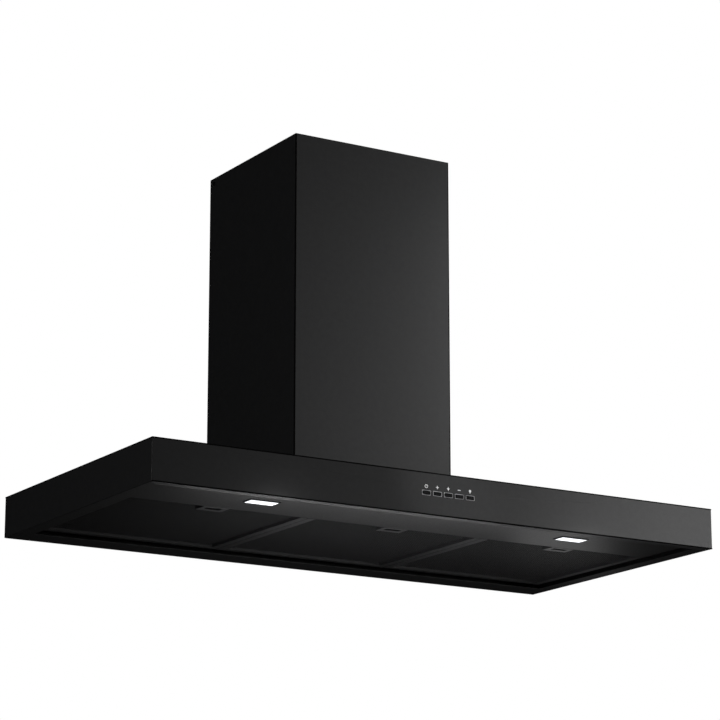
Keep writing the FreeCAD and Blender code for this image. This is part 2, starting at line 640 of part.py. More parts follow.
def curved_blade():
    """One blade along X, curved forwards from its root to its tip just inside the rings' edge."""
    x = -WHEEL_HALF_W + EPS
    tip_r = WHEEL_R - EPS
    root_r = tip_r - BLADE_D
    mid_r = (root_r + tip_r) / 2
    bow = 0.39 * BLADE_LEAN

    def at(radius, sideways):
        return FreeCAD.Vector(x, FAN_Y + sideways, FAN_Z + radius)

    front = Part.Arc(at(root_r, 0), at(mid_r, bow), at(tip_r, BLADE_LEAN)).toShape()
    back = Part.Arc(at(tip_r, BLADE_LEAN + BLADE_T), at(mid_r, bow + BLADE_T), at(root_r, BLADE_T)).toShape()
    tip = Part.makeLine(at(tip_r, BLADE_LEAN), at(tip_r, BLADE_LEAN + BLADE_T))
    root = Part.makeLine(at(root_r, BLADE_T), at(root_r, 0))
    face = Part.Face(Part.Wire([front, tip, back, root]))
    return face.extrude(FreeCAD.Vector(2 * (WHEEL_HALF_W - EPS), 0, 0))


def motor_shaft():
    """Shaft with the motor's laminated core."""
    shaft = rod(SHAFT_R, (MOTOR_X[0] - 4.0, FAN_Y, FAN_Z), 90.0, (1, 0, 0))
    core = rod(CORE_R, ((MOTOR_X[0] + MOTOR_X[1] - CORE_L) / 2, FAN_Y, FAN_Z), CORE_L, (1, 0, 0))
    return shaft.fuse(core)


def motor_body():
    """Closed can with the stator ring inside and a bearing seat at each end."""
    length = MOTOR_X[1] - MOTOR_X[0]
    can = rod(MOTOR_R, (MOTOR_X[0], FAN_Y, FAN_Z), length, (1, 0, 0))
    can = can.makeFillet(3.0, [e for e in can.Edges if len(e.Vertexes) == 1])
    end_t = 3.0
    hollow = rod(MOTOR_R - 4.0, (MOTOR_X[0] + end_t, FAN_Y, FAN_Z), length - 2 * end_t, (1, 0, 0))
    stator_x = (MOTOR_X[0] + MOTOR_X[1] - STATOR_L) / 2
    stator = ring(MOTOR_R - 3.5, CORE_R + 1.0, (stator_x, FAN_Y, FAN_Z), STATOR_L, (1, 0, 0))
    seats = [rod(BEARING_SEAT_R, (x, FAN_Y, FAN_Z), BEARING_L - 1.0, (1, 0, 0))
             for x in (MOTOR_X[0] + 1.0, MOTOR_X[1] - BEARING_L)]
    body = fuse(can.cut(hollow), [stator] + seats)
    return body.cut(rod(BEARING_R, (MOTOR_X[0] - EPS, FAN_Y, FAN_Z), length + 2 * EPS, (1, 0, 0)))


def motor_bearings():
    return Part.makeCompound([ring(BEARING_R, SHAFT_R + RUN_FIT, (x, FAN_Y, FAN_Z), BEARING_L, (1, 0, 0))
                              for x in (MOTOR_X[0], MOTOR_X[1] - BEARING_L)])


def motor_bracket():
    """Ring on the left inlet with three arms that hold the motor's end."""
    x0 = -SCROLL_HALF_W - BRACKET_T
    rim = ring(BRACKET_R[1], BRACKET_R[0], (x0, FAN_Y, FAN_Z), BRACKET_T, (1, 0, 0))
    hub = rod(28.0, (x0, FAN_Y, FAN_Z), MOTOR_X[0] - x0, (1, 0, 0))
    arms = []
    for i in range(3):
        arm = block((x0, x0 + BRACKET_T), span(12.0, FAN_Y), (FAN_Z + 20.0, FAN_Z + BRACKET_R[0] + 3.0))
        arm.rotate(FreeCAD.Vector(0, FAN_Y, FAN_Z), FreeCAD.Vector(1, 0, 0), 120.0 * i)
        arms.append(arm)
    body = fuse(rim, [hub] + arms)
    return body.cut(rod(6.0, (x0 - EPS, FAN_Y, FAN_Z), 20.0, (1, 0, 0)))


def capacitor():
    """Motor capacitor in the corner of the blower box, on a clip."""
    wall_x = BOX_W / 2 - SHEET
    x = wall_x - CAPACITOR_R - 2.0
    y = -BOX_D + 30.0
    foot_z = 110.0
    can = rod(CAPACITOR_R, (x, y, foot_z), CAPACITOR_H, (0, 0, 1))
    can = can.makeFillet(2.0, [e for e in can.Edges if len(e.Vertexes) == 1])
    clip = block((x, wall_x), span(12.0, y), span(12.0, foot_z + CAPACITOR_H / 2))
    return can.fuse(clip)


# ---- outlet ----
def outlet_collar():
    """Spigot for the duct, with a ledge inside that the two flaps close on."""
    centre = (0, OUTLET_Y, BOX_TOP_Z)
    bore_r = OUTLET_R - OUTLET_T
    tube = ring(OUTLET_R, bore_r, centre, OUTLET_T + OUTLET_H, (0, 0, 1))
    base = ring(OUTLET_R + 10.0, bore_r, centre, OUTLET_T, (0, 0, 1))
    ledge_z = FLAP_Z - FLAP_T / 2 - 0.3 - LEDGE_T
    ledge = ring(bore_r + 0.5, bore_r - LEDGE_W, (0, OUTLET_Y, ledge_z), LEDGE_T, (0, 0, 1))
    pin_hole = rod(PIN_R, (0, OUTLET_Y - OUTLET_R - EPS, FLAP_Z), 2 * OUTLET_R + 2 * EPS, (0, 1, 0))
    return fuse(tube, [base, ledge]).cut(pin_hole)


def damper_pin():
    reach = OUTLET_R - 0.5
    return rod(PIN_R, (0, OUTLET_Y - reach, FLAP_Z), 2 * reach, (0, 1, 0))


def damper_flap(side):
    """Half disc that hangs on the pin by two knuckles. The two flaps' knuckles alternate."""
    disc = rod(FLAP_R, (0, OUTLET_Y, FLAP_Z - FLAP_T / 2), FLAP_T, (0, 0, 1))
    half = (3.0, FLAP_R) if side > 0 else (-FLAP_R, -3.0)
    plate = disc.common(block(half, span(2 * FLAP_R, OUTLET_Y), span(10.0, FLAP_Z)))
    step = KNUCKLE_L + 3 * KNUCKLE_GAP
    starts = [OUTLET_Y - 2 * step + 2 * KNUCKLE_GAP + i * step for i in range(4)]
    own, other = (starts[0::2], starts[1::2]) if side > 0 else (starts[1::2], starts[0::2])
    knuckles = [rod(KNUCKLE_R, (0, start, FLAP_Z), KNUCKLE_L, (0, 1, 0)) for start in own]
    gap_x = span(2 * KNUCKLE_R + 2.4)
    thick = span(10.0, FLAP_Z)
    gaps = [block(gap_x, (start - KNUCKLE_GAP, start + KNUCKLE_L + KNUCKLE_GAP), thick) for start in other]
    ends = [block(gap_x, sorted((OUTLET_Y + end * 65.0, OUTLET_Y + end * FLAP_R)), thick) for end in (-1, 1)]
    bore = rod(PIN_R + RUN_FIT, (0, OUTLET_Y - FLAP_R, FLAP_Z), 2 * FLAP_R, (0, 1, 0))
    return fuse(cut_all(plate, gaps + ends), knuckles).cut(bore)


# ---- mains connection ----
def drawn_in(pair, inset):
    return (pair[0] + inset, pair[1] - inset)


def terminal_box():
    """Box for the mains lead's connection, with a terminal strip moulded in."""
    outer = rounded(TERMINAL_X, TERMINAL_Y, TERMINAL_Z, 3.0, 2)
    inner = block(drawn_in(TERMINAL_X, TERMINAL_WALL), drawn_in(TERMINAL_Y, TERMINAL_WALL),
                  (TERMINAL_Z[0] + TERMINAL_WALL, TERMINAL_Z[1] + EPS))
    entry = rod(GLAND_NECK_R, (GLAND_X, TERMINAL_Y[1] - 5.0, GLAND_Z), 10.0, (0, 1, 0))
    body = cut_all(outer, [inner, entry])
    strip_centre = (TERMINAL_X[0] + TERMINAL_X[1]) / 2
    strip = block(span(50.0, strip_centre), span(16.0, TERMINAL_Y[0] + 25.0),
                  (TERMINAL_Z[0] + TERMINAL_WALL / 2, TERMINAL_Z[0] + 20.0))
    return fuse(body, [strip])


def terminal_lid():
    """Lid with a rim that locates it in the box."""
    lid = rounded(TERMINAL_X, TERMINAL_Y, (TERMINAL_Z[1], TERMINAL_Z[1] + LID_T), 3.0, 2)
    outer_inset = TERMINAL_WALL + 0.2
    inner_inset = outer_inset + 1.8
    rim = block(drawn_in(TERMINAL_X, outer_inset), drawn_in(TERMINAL_Y, outer_inset),
                (TERMINAL_Z[1] - 3.0, TERMINAL_Z[1] + LID_T / 2))
    hollow = block(drawn_in(TERMINAL_X, inner_inset), drawn_in(TERMINAL_Y, inner_inset),
                   (TERMINAL_Z[1] - 3.0 - EPS, TERMINAL_Z[1]))
    return fuse(lid, [rim.cut(hollow)])


def cable_gland():
    """Threaded body through the box wall, with a hexagon flange and a domed nut."""
    wall_y = TERMINAL_Y[1]
    nut_y = wall_y + GLAND_HEX_T
    neck = rod(GLAND_NECK_R, (GLAND_X, wall_y - GLAND_NECK_L, GLAND_Z), GLAND_NECK_L, (0, 1, 0))
    turns = [math.radians(60 * i) for i in range(7)]
    corners = [FreeCAD.Vector(GLAND_X + GLAND_HEX_R * math.cos(turn), wall_y,
                              GLAND_Z + GLAND_HEX_R * math.sin(turn)) for turn in turns]
    hexagon = Part.Face(Part.makePolygon(corners)).extrude(FreeCAD.Vector(0, GLAND_HEX_T, 0))
    nut = rod(GLAND_NUT_R, (GLAND_X, nut_y, GLAND_Z), GLAND_NUT_L, (0, 1, 0))
    rim = [e for e in nut.Edges if len(e.Vertexes) == 1 and e.CenterOfMass.y > nut_y + EPS]
    nut = nut.makeFillet(3.0, rim)
    bore_l = GLAND_NECK_L + GLAND_HEX_T + GLAND_NUT_L + 2 * EPS
    bore = rod(GLAND_BORE_R, (GLAND_X, wall_y - GLAND_NECK_L - EPS, GLAND_Z), bore_l, (0, 1, 0))
    return fuse(neck, [hexagon, nut]).cut(bore)


# ---- chimney ----
def folded_cover(width, front_y, rear_y, z):
    """Three-sided sheet cover, open to the wall, with a narrow return along each rear edge."""
    outer = block(span(width), (front_y, rear_y), z)
    front = [e for e in edges_along(outer, 2) if e.Vertexes[0].Y < front_y + 1]
    outer = outer.makeFillet(FOLD_R, front)
    through = (z[0] - EPS, z[1] + EPS)
    inner_y = (front_y + CHIMNEY_SHEET, rear_y - CHIMNEY_SHEET)
    inner = block(span(width - 2 * CHIMNEY_SHEET), inner_y, through)
    gap = block(span(width - 2 * CHIMNEY_RETURN), (rear_y - 2 * CHIMNEY_SHEET, rear_y + EPS), through)
    return cut_all(outer, [inner, gap])


def chimney_lower():
    """Outer cover, relieved at the top rear for the bracket and bored for its side screws."""
    body = folded_cover(CHIMNEY_W, -CHIMNEY_D, 0, (CANOPY_H, CHIMNEY_TOP_Z))
    room_x = CHIMNEY_W / 2 - CHIMNEY_SHEET
    relief = block((-room_x, room_x), (-2 * CHIMNEY_SHEET, EPS), (BRACKET_Z[0] - 3.0, CHIMNEY_TOP_Z + EPS))
    holes = rod(SIDE_HOLE_R, (-CHIMNEY_W, SIDE_SCREW_Y, SIDE_SCREW_Z), 2 * CHIMNEY_W, (1, 0, 0))
    return cut_all(body, [relief, holes])


def chimney_upper():
    """Inner cover, stored inside the lower one. It slides up to meet the ceiling."""
    z = (CANOPY_H + 4.0, CHIMNEY_TOP_Z - 2.0)
    return folded_cover(CHIMNEY_W - 2 * INNER_GAP, -CHIMNEY_D + INNER_GAP, INNER_REAR_Y, z)


def chimney_bracket():
    """Strip on the wall with an ear at each end that the lower cover's sides are screwed to."""
    room_x = CHIMNEY_W / 2 - CHIMNEY_SHEET
    strip = block((-room_x, room_x), (-SHEET, 0), BRACKET_Z)
    ears = []
    for side in (-1, 1):
        x = sorted((side * room_x, side * (room_x - SHEET)))
        ears.append(rounded(x, (-BRACKET_EAR_D, -SHEET / 2), BRACKET_Z, 0.3, 0))
    cutters = [rod(SCREW_R, (-CHIMNEY_W, SIDE_SCREW_Y, SIDE_SCREW_Z), 2 * CHIMNEY_W, (1, 0, 0))]
    hole_z = sum(BRACKET_Z) / 2
    for side in (-1, 1):
        cutters.append(rod(BRACKET_HOLE_R, (side * BRACKET_HOLE_X, -5.0, hole_z), 10.0, (0, 1, 0)))
    return cut_all(fuse(strip, ears), cutters)


def chimney_screws():
    """A flat-headed screw at each side, sunk in the cover's hole and driven into the ear."""
    seat_x = CHIMNEY_W / 2 - CHIMNEY_SHEET
    recess_x = (seat_x + SIDE_HEAD_H / 2, seat_x + SIDE_HEAD_H + EPS)
    shank = rod(SCREW_R, (seat_x - SHEET, SIDE_SCREW_Y, SIDE_SCREW_Z), SHEET, (1, 0, 0))
    head = rod(SIDE_HEAD_R, (seat_x, SIDE_SCREW_Y, SIDE_SCREW_Z), SIDE_HEAD_H, (1, 0, 0))
    cross = [block(recess_x, span(SLOT_L, SIDE_SCREW_Y), span(SLOT_W, SIDE_SCREW_Z)),
             block(recess_x, span(SLOT_W, SIDE_SCREW_Y), span(SLOT_L, SIDE_SCREW_Z))]
    screw = cut_all(shank.fuse(head), cross)
    return Part.makeCompound([screw, mirrored_x(screw)])


# ---- write every piece ----
def main():
    os.makedirs("parts", exist_ok=True)
    save("canopy_shell", canopy_shell())
    save("lamp_panel", lamp_panel())
    save("rear_rail", rear_rail())
    save("cross_rail_left", cross_rail(-FILTER_PITCH / 2))
    save("cross_rail_right", cross_rail(FILTER_PITCH / 2))
    save("side_rail_right", side_rail())
    save("side_rail_left", mirrored_x(side_rail()))
    save("hinge_pins", hinge_pins())
    for name, centre in zip(FILTERS, filter_centres()):
        save("filter_frame_" + name, filter_frame(centre))
        save("filter_face_" + name, filter_face(centre))
        save("filter_mesh_" + name, filter_mesh(centre))
        save("filter_latch_" + name, filter_latch(centre))
        save("latch_spring_" + name, latch_spring(centre))
    for name, x in (("left", -LAMP_X), ("right", LAMP_X)):
        save("lamp_housing_" + name, lamp_housing(x))
        save("lamp_lens_" + name, lamp_lens(x))
        save("lamp_board_" + name, lamp_board(x))
    save("led_driver", led_driver())
    for index, name in enumerate(BUTTONS):
        save("button_" + name, button(index))
    save("button_guide", button_guide())
    save("control_board", control_board())
    save("tact_switches", tact_switches())
    save("control_box", control_box())
    save("motor_box", motor_box())
    save("assembly_screws", assembly_screws())
    save("scroll_right", scroll_half())
    save("scroll_left", mirrored_x(scroll_half()))
    save("impeller", impeller())
    save("motor_shaft", motor_shaft())
    save("motor_body", motor_body())
    save("motor_bearings", motor_bearings())
    save("motor_bracket", motor_bracket())
    save("capacitor", capacitor())
    save("outlet_collar", outlet_collar())
    save("damper_pin", damper_pin())
    save("damper_flap_left", damper_flap(-1))
    save("damper_flap_right", damper_flap(1))
    save("terminal_box", terminal_box())
    save("terminal_lid", terminal_lid())
    save("cable_gland", cable_gland())
    save("chimney_lower", chimney_lower())
    save("chimney_upper", chimney_upper())
    save("chimney_bracket", chimney_bracket())
    save("chimney_screws", chimney_screws())


main()
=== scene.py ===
import json
import math

import bmesh
import bpy
import numpy as np
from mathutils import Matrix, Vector


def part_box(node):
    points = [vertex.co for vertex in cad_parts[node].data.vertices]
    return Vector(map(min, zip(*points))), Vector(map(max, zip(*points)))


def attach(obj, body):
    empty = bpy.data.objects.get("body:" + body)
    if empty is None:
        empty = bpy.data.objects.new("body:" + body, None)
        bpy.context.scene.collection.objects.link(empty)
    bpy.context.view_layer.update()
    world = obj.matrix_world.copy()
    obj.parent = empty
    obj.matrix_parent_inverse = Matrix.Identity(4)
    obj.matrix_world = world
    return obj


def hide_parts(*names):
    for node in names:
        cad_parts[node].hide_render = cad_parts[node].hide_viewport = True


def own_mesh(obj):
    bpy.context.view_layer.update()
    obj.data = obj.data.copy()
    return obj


# A black wall range hood, seen from below and to its left. Metres, in the frame of the CAD model:
# X to the right, Y into the wall, Z up.
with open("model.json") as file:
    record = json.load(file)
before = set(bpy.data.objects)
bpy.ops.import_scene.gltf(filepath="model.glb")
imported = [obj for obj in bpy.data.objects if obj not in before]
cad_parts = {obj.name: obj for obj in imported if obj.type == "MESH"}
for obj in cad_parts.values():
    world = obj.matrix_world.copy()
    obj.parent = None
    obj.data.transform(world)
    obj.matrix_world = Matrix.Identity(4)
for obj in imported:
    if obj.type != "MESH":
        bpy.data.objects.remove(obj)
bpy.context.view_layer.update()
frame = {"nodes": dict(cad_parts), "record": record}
MM = 0.001
FILTERS = ("left", "centre", "right")

# ---- view ----
VIEW_YAW = 31.32            # degrees to the right of straight in
VIEW_PITCH = 14.46          # degrees upwards
VIEW_LENS = 142.45          # millimetres, on Blender's own 36 mm sensor
VIEW_FROM = (-2.155, -4.221, -1.007)    # from the canopy's lower front left corner
FLOOR_DROP = 1.55           # floor below the canopy's rim


# ---------------------------------------------------------------- materials
class Nodes:
    """Short names for building one material's node tree around its Principled shader."""

    def __init__(self, name):
        self.material = bpy.data.materials.new(name)
        self.material.use_nodes = True
        self.tree = self.material.node_tree
        self.shader = self.tree.nodes["Principled BSDF"]
        self.place = self.add("ShaderNodeTexCoord").outputs["Object"]

    def add(self, kind, **settings):
        node = self.tree.nodes.new(kind)
        for key, value in settings.items():
            setattr(node, key, value)
        return node

    def join(self, output, target):
        self.tree.links.new(output, target)

    def stretched(self, scale):
        mapping = self.add("ShaderNodeMapping")
        mapping.inputs["Scale"].default_value = scale
        self.join(self.place, mapping.inputs["Vector"])
        return mapping.outputs["Vector"]

    def noise(self, scale, detail, vector=None):
        node = self.add("ShaderNodeTexNoise")
        node.inputs["Scale"].default_value = scale
        node.inputs["Detail"].default_value = detail
        self.join(vector or self.place, node.inputs["Vector"])
        return node.outputs["Fac"]

    def cells(self, scale):
        node = self.add("ShaderNodeTexVoronoi")
        node.inputs["Scale"].default_value = scale
        self.join(self.place, node.inputs["Vector"])
        return node

    def ramp(self, value, low, high, start=0.3, stop=0.7):
        """A value from 0 to 1 turned into one from low to high, which may be numbers or colours."""
        if isinstance(low, tuple):
            node = self.add("ShaderNodeMix", data_type="RGBA")
            slots = (6, 7)      # the node's two colour inputs
            low, high = (*low, 1.0), (*high, 1.0)
            out = node.outputs[2]
        else:
            node = self.add("ShaderNodeMix", data_type="FLOAT")
            slots = (2, 3)      # the node's two number inputs
            out = node.outputs[0]
        spread = self.add("ShaderNodeMapRange")
        spread.inputs["From Min"].default_value = start
        spread.inputs["From Max"].default_value = stop
        self.join(value, spread.inputs["Value"])
        self.join(spread.outputs["Result"], node.inputs[0])
        node.inputs[slots[0]].default_value = low
        node.inputs[slots[1]].default_value = high
        return out

    def bump(self, height, depth, after=None):
        """Bump of this depth in metres, added to an earlier one."""
        node = self.add("ShaderNodeBump")
        node.inputs["Strength"].default_value = 1.0
        node.inputs["Distance"].default_value = depth
        self.join(height, node.inputs["Height"])
        if after:
            self.join(after, node.inputs["Normal"])
        return node.outputs["Normal"]

    def colour(self, output):
        self.join(output, self.shader.inputs["Base Color"])

    def rough(self, output):
        self.join(output, self.shader.inputs["Roughness"])

    def normal(self, output):
        self.join(output, self.shader.inputs["Normal"])

    def fixed(self, **values):
        for key, value in values.items():
            self.shader.inputs[key.replace("_", " ")].default_value = value


def powder_coat(name, dark=0.012, light=0.016, low_rough=0.44, high_rough=0.52, sheen=0.5):
    """Matt black powder coat: fine orange peel with a dusting of smaller grain."""
    n = Nodes(name)
    n.colour(n.ramp(n.noise(90.0, 3.0), (dark, dark, dark * 1.04), (light, light, light * 1.04)))
    n.rough(n.ramp(n.noise(240.0, 4.0), low_rough, high_rough))
    peel = n.bump(n.noise(420.0, 1.0), 0.00006)
    n.normal(n.bump(n.noise(1900.0, 2.0), 0.00002, peel))
    n.fixed(IOR=1.5, Specular_IOR_Level=sheen)
    return n.material


def galvanised(name, tone=0.42):
    """Zinc-coated sheet with the large grains that zinc sets in."""
    n = Nodes(name)
    grain = n.cells(70.0)
    split = n.add("ShaderNodeSeparateColor")
    n.join(grain.outputs["Color"], split.inputs["Color"])
    shade = n.ramp(split.outputs["Red"], (tone * 0.8,) * 3, (tone * 1.12,) * 3, 0.0, 1.0)
    n.colour(shade)
    n.rough(n.ramp(split.outputs["Green"], 0.34, 0.5, 0.0, 1.0))
    n.normal(n.bump(n.noise(900.0, 3.0), 0.00002))
    n.fixed(Metallic=1.0)
    return n.material


def plated(name, tone, rough_low=0.22, rough_high=0.36):
    """Small bright or blackened metal parts, with fine turning marks."""
    n = Nodes(name)
    n.colour(n.ramp(n.noise(300.0, 3.0), tuple(c * 0.9 for c in tone), tone))
    n.rough(n.ramp(n.noise(2400.0, 2.0, vector=n.stretched((0.05, 1.0, 1.0))), rough_low, rough_high))
    n.normal(n.bump(n.noise(1800.0, 2.0), 0.00001))
    n.fixed(Metallic=1.0)
    return n.material


def moulded(name, tone, rough=0.45, grain=0.00003, spread=0.12, sheen=0.5):
    """Moulded plastic with a fine spark-eroded texture."""
    n = Nodes(name)
    paler = tuple(c * (1 + spread) for c in tone)
    n.colour(n.ramp(n.noise(60.0, 2.0), tone, paler))
    n.rough(n.ramp(n.noise(500.0, 3.0), rough - 0.05, rough + 0.06))
    n.normal(n.bump(n.noise(1500.0, 2.0), grain))
    n.fixed(IOR=1.48, Specular_IOR_Level=sheen)
    return n.material


def circuit_board(name, mask):
    """Solder mask over a pattern of copper tracks."""
    n = Nodes(name)
    tracks = n.add("ShaderNodeTexBrick")
    tracks.inputs["Scale"].default_value = 160.0
    tracks.inputs["Mortar Size"].default_value = 0.08
    tracks.inputs["Color1"].default_value = (*mask, 1.0)
    tracks.inputs["Color2"].default_value = (*[c * 0.85 for c in mask], 1.0)
    tracks.inputs["Mortar"].default_value = (*[min(1.0, c * 1.6 + 0.02) for c in mask], 1.0)
    n.join(n.place, tracks.inputs["Vector"])
    n.colour(tracks.outputs["Color"])
    n.rough(n.ramp(n.noise(400.0, 2.0), 0.25, 0.38))
    n.normal(n.bump(tracks.outputs["Fac"], 0.00003))
    return n.material


def lit_diffuser(name, strength):
    """Opal diffuser, lit a little unevenly by the LEDs behind it."""
    n = Nodes(name)
    n.colour(n.ramp(n.noise(200.0, 2.0), (0.9, 0.91, 0.94), (0.97, 0.97, 0.99)))
    n.rough(n.ramp(n.noise(600.0, 2.0), 0.3, 0.4))
    glow = n.ramp(n.noise(55.0, 1.0), strength * 0.9, strength * 1.1)
    n.join(glow, n.shader.inputs["Emission Strength"])
    n.fixed(Emission_Color=(0.93, 0.96, 1.0, 1.0))
    return n.material


def printed(name):
    """White screen-printed ink, very slightly mottled."""
    n = Nodes(name)
    n.colour(n.ramp(n.noise(800.0, 3.0), (0.82, 0.83, 0.84), (0.92, 0.92, 0.93)))
    n.rough(n.ramp(n.noise(900.0, 2.0), 0.5, 0.6))
    n.normal(n.bump(n.noise(2500.0, 2.0), 0.00001))
    return n.material


def make_materials():
    """One material for each of the record's slots."""
    return {
        "black_paint": powder_coat("black_paint"),
        "filter_paint": powder_coat("filter_paint", 0.026, 0.031, 0.4, 0.48),
        "filter_sheet": powder_coat("filter_sheet", 0.014, 0.016, 0.58, 0.64, 0.38),
        "grease_mesh": plated("grease_mesh", (0.03, 0.03, 0.032), 0.45, 0.6),
        "zinc_steel": galvanised("zinc_steel"),
        "bright_steel": plated("bright_steel", (0.6, 0.6, 0.61)),
        "black_screw": plated("black_screw", (0.05, 0.05, 0.052), 0.3, 0.42),
        "motor_alloy": plated("motor_alloy", (0.55, 0.55, 0.56), 0.35, 0.5),
        "bearing_bronze": plated("bearing_bronze", (0.55, 0.38, 0.16), 0.3, 0.45),
        "black_plastic": moulded("black_plastic", (0.018, 0.018, 0.019)),
        "grey_plastic": moulded("grey_plastic", (0.15, 0.15, 0.155)),
        "flap_plastic": moulded("flap_plastic", (0.08, 0.08, 0.084)),
        "white_plastic": moulded("white_plastic", (0.7, 0.7, 0.68), spread=0.04),
        "switch_black": moulded("switch_black", (0.02, 0.02, 0.02), 0.35),
        "circuit_board": circuit_board("circuit_board", (0.02, 0.13, 0.05)),
        "led_board": circuit_board("led_board", (0.72, 0.72, 0.68)),
        "button_black": moulded("button_black", (0.006, 0.006, 0.0065), 0.3, 0.00001, sheen=0.15),
        "button_trim": moulded("button_trim", (0.42, 0.42, 0.43), 0.3, 0.00001),
        "lamp_case": powder_coat("lamp_case", 0.016, 0.02, 0.35, 0.45),
        "lamp_glow": lit_diffuser("lamp_glow", 1.1),
    }


def dress_frame(materials):
    """Every CAD node gets its slot's material."""
    for entry in frame["record"]["subparts"]:
        node = frame["nodes"][entry["node"]]
        node.data.materials.clear()
        node.data.materials.append(materials[entry["material_slot"]])


# ---------------------------------------------------------------- pieces
def new_piece(name, vertices, faces, material, body):
    mesh = bpy.data.meshes.new(name)
    mesh.from_pydata([tuple(v) for v in vertices], [], [tuple(f) for f in faces])
    mesh.materials.append(material)
    mesh.validate()
    piece = bpy.data.objects.new(name, mesh)
    bpy.context.scene.collection.objects.link(piece)
    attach(piece, body)
    return piece


def expanded_sheet(name, node, body, material):
    """Expanded-metal outer sheet of a filter: zigzag strands that meet their neighbours at bonds."""
    low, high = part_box(node)
    cell_x, cell_y = 6.0 * MM, 2.8 * MM     # one opening of the mesh
    width, thick = 1.15 * MM, 0.7 * MM      # a strand's section
    lift, tilt = 0.1 * MM, 0.12 * MM        # mean height on the node's lower face, and swing about it
    inset = 0.35 * width                    # from a strand's middle line to its row's edge, at a bond
    steps = int((high.x - low.x) / (cell_x / 2))
    rows = int((high.y - low.y) / cell_y)
    cell_x = 2 * (high.x - low.x) / steps
    cell_y = (high.y - low.y) / rows
    k = np.arange(steps + 1)
    x = low.x + k * cell_x / 2
    vertices, faces = [], []
    hole = tab_hole(node)
    for row in range(rows):
        swing = np.where((k + row) % 2, 1.0, -1.0)
        y = low.y + (row + 0.5) * cell_y + swing * (cell_y / 2 - inset)
        z = low.z + lift + tilt * swing
        start = len(vertices)
        for i in range(steps + 1):
            for dy, dz in ((-width / 2, 0), (width / 2, 0), (width / 2, thick), (-width / 2, thick)):
                vertices.append((x[i], min(max(y[i] + dy, low.y), high.y), z[i] + dz))
        faces += strand_faces(start, x, y, hole)
    piece = new_piece(name, vertices, faces, material, body)
    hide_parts(node)


def strand_faces(start, x, y, hole):
    """Faces of one strand, whose four-cornered sections begin at vertex start. It leaves out the
    stretch in the hole, and is closed there and at its two ends."""
    steps, quarter_cell = len(x) - 1, (x[1] - x[0]) / 2
    faces = []
    for i in range(steps):
        middle = ((x[i] + x[i + 1]) / 2, (y[i] + y[i + 1]) / 2)
        if inside(middle, hole):
            continue
        a, b = start + 4 * i, start + 4 * (i + 1)
        faces += [(a + j, b + j, b + (j + 1) % 4, a + (j + 1) % 4) for j in range(4)]
        if i == 0 or inside((x[i] - quarter_cell, middle[1]), hole):
            faces.append((a, a + 1, a + 2, a + 3))
        if i == steps - 1 or inside((x[i + 1] + quarter_cell, middle[1]), hole):
            faces.append((b + 3, b + 2, b + 1, b))
    return faces


def tab_hole(node):
    """The opening in a filter's face for its latch, and the room that the strands' ends need there."""
    low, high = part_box(node)
    sheet = frame["nodes"][node]
    points = [sheet.matrix_world @ v.co for v in sheet.data.vertices]
    inner = [p for p in points if low.x + MM < p.x < high.x - MM and low.y + MM < p.y < high.y - MM]
    xs, ys = [p.x for p in inner], [p.y for p in inner]
    room_x, room_y = 1.0 * MM, 2.2 * MM
    return (min(xs) - room_x, min(ys) - room_y, max(xs) + room_x, max(ys) + room_y)


def inside(point, box):
    return box[0] < point[0] < box[2] and box[1] < point[1] < box[3]


def zigzag_spring(name, node, body, material):
    """Zigzag return spring of a latch, which folds up towards the pocket's rear wall."""
    low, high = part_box(node)
    folds, rise = 6, 1.2 * MM
    vertices, faces = [], []
    for i in range(folds + 1):
        y = low.y + (high.y - low.y) * i / folds
        z = low.z if i % 2 else high.z - rise
        vertices += [(low.x, y, z), (high.x, y, z), (high.x, y, z + rise), (low.x, y, z + rise)]
    for i in range(folds):
        a, b = 4 * i, 4 * (i + 1)
        faces += [(a + j, b + j, b + (j + 1) % 4, a + (j + 1) % 4) for j in range(4)]
    last = 4 * folds
    faces += [(0, 1, 2, 3), (last + 3, last + 2, last + 1, last)]
    piece = new_piece(name, vertices, faces, material, body)
    tidy_mesh(piece.data)
    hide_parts(node)
    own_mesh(piece)


def flat_symbol(name, outlines, centre, material, thickness=0.12 * MM):
    """A printed symbol on the canopy's front: closed outlines in millimetres, as (x, z) loops.
    The first loop of each outline is its edge and any second loop is a hole in it."""
    front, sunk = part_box("canopy_shell")[0].y, 0.01 * MM
    curve = bpy.data.curves.new(name, "CURVE")
    curve.dimensions = "2D"
    curve.fill_mode = "BOTH"
    curve.extrude = thickness / 2
    curve.resolution_u = 1
    for loop in outlines:
        spline = curve.splines.new("POLY")
        spline.points.add(len(loop) - 1)
        for point, (u, v) in zip(spline.points, loop):
            point.co = (u * MM, v * MM, 0, 1)
        spline.use_cyclic_u = True
    holder = bpy.data.objects.new(name + "_outline", curve)
    mesh = bpy.data.meshes.new_from_object(holder)
    bpy.data.objects.remove(holder)
    for vertex in mesh.vertices:
        u, v, depth = vertex.co
        vertex.co = (centre[0] + u, front - thickness / 2 + depth + sunk, centre[1] + v)
    mesh.name = name
    mesh.materials.append(material)
    piece = bpy.data.objects.new(name, mesh)
    bpy.context.scene.collection.objects.link(piece)
    tidy_mesh(mesh)
    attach(piece, "hood")


def tidy_mesh(mesh):
    """Joins doubled vertices and turns every face outwards."""
    work = bmesh.new()
    work.from_mesh(mesh)
    bmesh.ops.remove_doubles(work, verts=work.verts, dist=1e-7)
    bmesh.ops.recalc_face_normals(work, faces=work.faces)
    work.to_mesh(mesh)
    work.free()


def arc(radius, start, stop, count, centre=(0.0, 0.0)):
    turns = [math.radians(start + (stop - start) * i / count) for i in range(count + 1)]
    return [(centre[0] + radius * math.cos(t), centre[1] + radius * math.sin(t)) for t in turns]


def circle(radius, count=40):
    return arc(radius, 0, 360 * (1 - 1 / count), count - 1)


